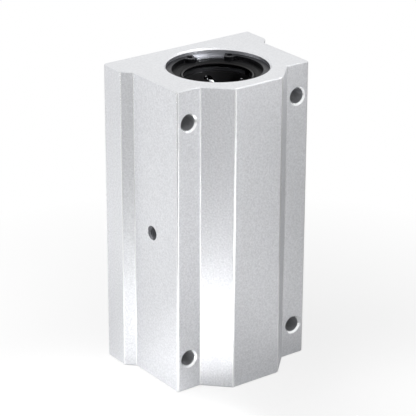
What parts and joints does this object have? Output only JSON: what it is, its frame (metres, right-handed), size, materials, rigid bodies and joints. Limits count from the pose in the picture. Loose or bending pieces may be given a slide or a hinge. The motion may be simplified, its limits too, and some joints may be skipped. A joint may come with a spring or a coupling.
{
  "type": "linear bearing block",
  "caption": "Long aluminium pillow block that carries ball bushings in tandem, with a through bore, bolt holes at its corners and a side grease port.",
  "frame": {"origin": "on the shaft's axis, midway between the two end faces of the housing", "axes": "+Z along the shaft towards the end that is up in the picture; +Y from the shaft towards the flat mounting face; X across the mounting flange, with the grease port on the -X side"},
  "size_m": [0.078, 0.0595, 0.14],
  "materials": {
    "satin_aluminium": "satin clear-anodised extrusion with machined end faces",
    "spacer_aluminium": "turned",
    "spring_steel": "stamped spring steel, lightly oiled",
    "ground_steel": "ground and hardened",
    "ring_steel": "stamped",
    "ball_steel": "polished",
    "cage_resin": "moulded black resin",
    "seal_rubber": "moulded black rubber"
  },
  "bodies": {
    "root": {"housing": "satin_aluminium", "lower_ball_cage": "cage_resin", "lower_ball_circuit_1": "ball_steel", "lower_ball_circuit_2": "ball_steel", "lower_ball_circuit_3": "ball_steel", "lower_ball_circuit_4": "ball_steel", "lower_ball_circuit_5": "ball_steel", "lower_ball_circuit_6": "ball_steel", "lower_bearing_sleeve": "ground_steel", "lower_inner_end_ring": "ring_steel", "lower_outer_end_ring": "ring_steel", "lower_retaining_ring": "spring_steel", "lower_shaft_seal": "seal_rubber", "spacer_ring": "spacer_aluminium", "upper_ball_cage": "cage_resin", "upper_ball_circuit_1": "ball_steel", "upper_ball_circuit_2": "ball_steel", "upper_ball_circuit_3": "ball_steel", "upper_ball_circuit_4": "ball_steel", "upper_ball_circuit_5": "ball_steel", "upper_ball_circuit_6": "ball_steel", "upper_bearing_sleeve": "ground_steel", "upper_inner_end_ring": "ring_steel", "upper_outer_end_ring": "ring_steel", "upper_retaining_ring": "spring_steel", "upper_shaft_seal": "seal_rubber"}
  },
  "joints": []
}
